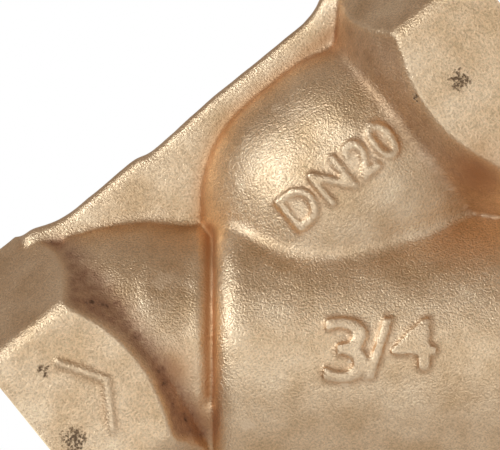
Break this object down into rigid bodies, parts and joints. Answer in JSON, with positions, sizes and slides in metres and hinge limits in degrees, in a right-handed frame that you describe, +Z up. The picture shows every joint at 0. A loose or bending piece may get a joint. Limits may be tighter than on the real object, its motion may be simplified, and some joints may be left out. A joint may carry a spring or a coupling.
{
  "type": "y strainer",
  "caption": "Threaded bronze Y strainer: hexagon pipe sockets in line, angled screen chamber below, removable screen, hexagon cap with drain plug.",
  "frame": {"origin": "centre of the inlet socket's mouth, on the axis of the run", "axes": "+X along the run in the flow direction, +Z up, the branch points down and towards +X in the XZ plane, -Y is the side with the size marks and the flow arrow"},
  "size_m": [0.0709, 0.0344, 0.0682],
  "materials": {
    "bronze_forging": "shot-blasted bronze, fine satin grain",
    "turned_brass": "turned brass, satin",
    "stainless_sheet": "rolled stainless sheet",
    "stainless_wire": "woven stainless wire",
    "fibre": "matt red-brown gasket fibre"
  },
  "bodies": {
    "housing": {"body": "bronze_forging"},
    "screen": {"screen_support_tube": "stainless_sheet", "screen_mesh": "stainless_wire", "screen_seat_ring": "stainless_sheet", "screen_base_ring": "stainless_sheet"},
    "cap_seal": {"cap_gasket": "fibre"},
    "cap": {"cap": "turned_brass"},
    "plug_seal": {"drain_plug_gasket": "fibre"},
    "plug": {"drain_plug": "turned_brass"}
  },
  "joints": [
    {"name": "screen_lift", "type": "slide", "parent": "housing", "child": "screen", "axis": [0.7771, 0, -0.6293], "range_m": [0, 0.046]},
    {"name": "cap_lead", "type": "slide", "parent": "screen", "child": "cap_seal", "axis": [0.7771, 0, -0.6293], "range_m": [0, 0.0105]},
    {"name": "cap_turn", "type": "hinge", "parent": "cap_seal", "child": "cap", "pos_m": [0.019, 0, -0.0046], "axis": [0.7771, 0, -0.6293], "range_deg": [0, 2520]},
    {"name": "plug_lead", "type": "slide", "parent": "cap", "child": "plug_seal", "axis": [0.7771, 0, -0.6293], "range_m": [0, 0.00725]},
    {"name": "plug_turn", "type": "hinge", "parent": "plug_seal", "child": "plug", "pos_m": [0.019, 0, -0.0046], "axis": [0.7771, 0, -0.6293], "range_deg": [0, 2880]}
  ],
  "couplings": [
    {"joint": "cap_turn", "follows": "cap_lead", "rad_per_m": 4188.7},
    {"joint": "plug_turn", "follows": "plug_lead", "rad_per_m": 6927.4}
  ]
}
